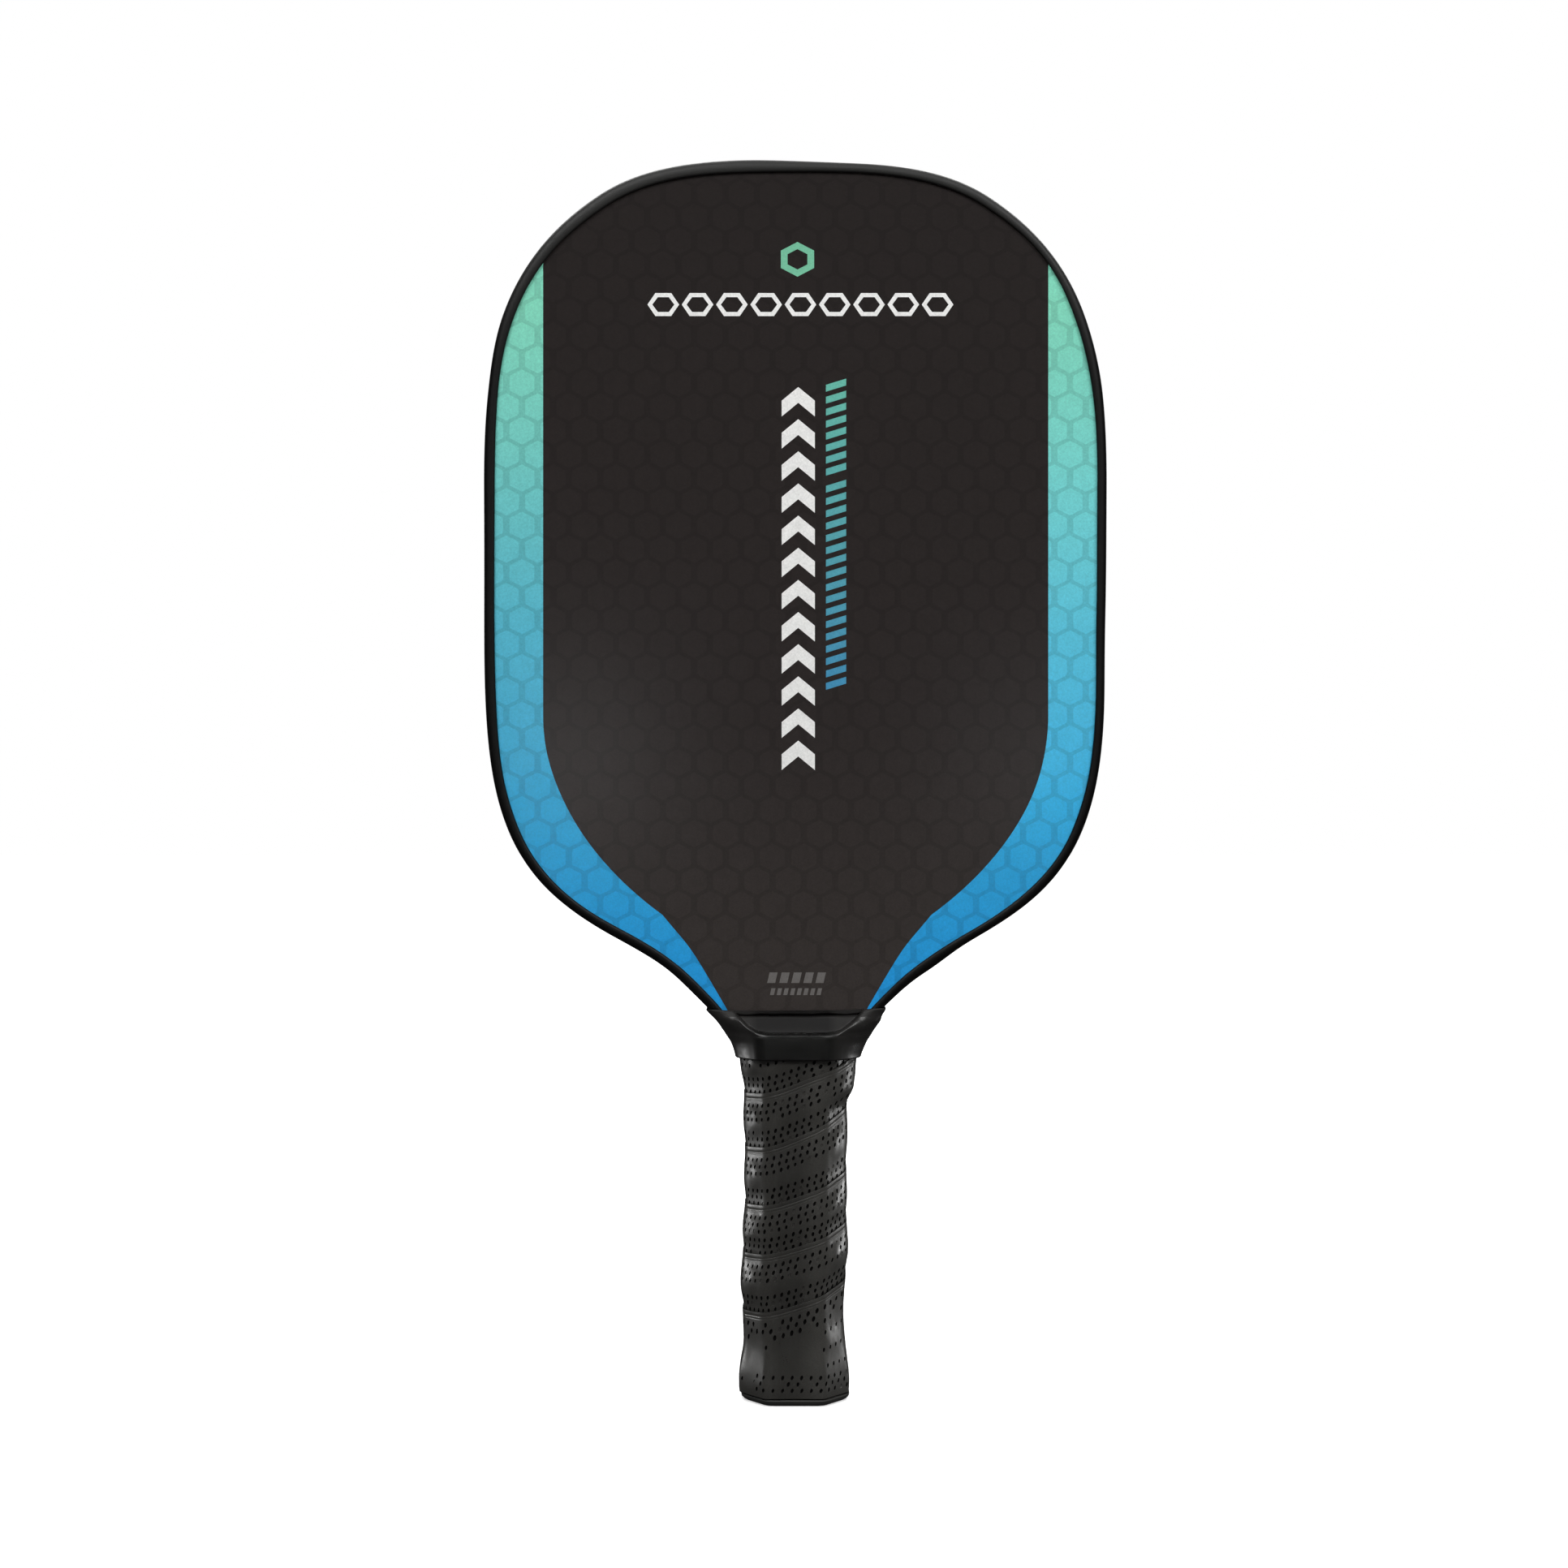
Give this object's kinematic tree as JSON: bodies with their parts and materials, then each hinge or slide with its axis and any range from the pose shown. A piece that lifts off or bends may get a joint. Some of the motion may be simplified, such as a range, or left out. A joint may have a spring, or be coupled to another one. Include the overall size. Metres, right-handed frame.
{
  "type": "pickleball paddle",
  "caption": "Wide-body paddle with a honeycomb sandwich head, edge guard, glossy throat collar, wrapped perforated grip and butt cap.",
  "frame": {"origin": "middle of the butt cap's flat end, on the paddle's long axis", "axes": "+Z from the butt to the tip, front playing face towards -Y, +X to the right of that face"},
  "size_m": [0.2002, 0.0332, 0.4],
  "materials": {
    "core_plastic": "translucent white polypropylene honeycomb",
    "bond_film": "thin amber adhesive film",
    "face_sheet": "woven carbon fibre laminate under the film",
    "graphic_film": "fine grained printed film, near black with teal to blue side bands",
    "pallet_foam": "rigid tan foam",
    "staple_steel": "plain wire",
    "guard_plastic": "satin black moulded strip",
    "glue_tape": "white foam tape",
    "cap_plastic": "satin black moulding",
    "badge_plastic": "plain dark disc",
    "grip_skin": "perforated dark charcoal synthetic leather, satin",
    "adhesive_strip": "double-sided strip",
    "finishing_tape": "black vinyl tape",
    "collar_rubber": "glossy stretched black band"
  },
  "bodies": {
    "root": {"honeycomb_core": "core_plastic", "front_bond_film": "bond_film", "back_bond_film": "bond_film", "front_face_sheet": "face_sheet", "back_face_sheet": "face_sheet", "front_graphic_film": "graphic_film", "back_graphic_film": "graphic_film", "front_handle_pallet": "pallet_foam", "back_handle_pallet": "pallet_foam", "front_cap_staple": "staple_steel", "back_cap_staple": "staple_steel", "edge_guard": "guard_plastic", "edge_guard_glue_tape": "glue_tape", "butt_cap": "cap_plastic", "butt_cap_badge": "badge_plastic", "cushion_grip": "grip_skin", "grip_adhesive_strip": "adhesive_strip", "grip_finishing_tape": "finishing_tape", "throat_collar": "collar_rubber"}
  },
  "joints": []
}
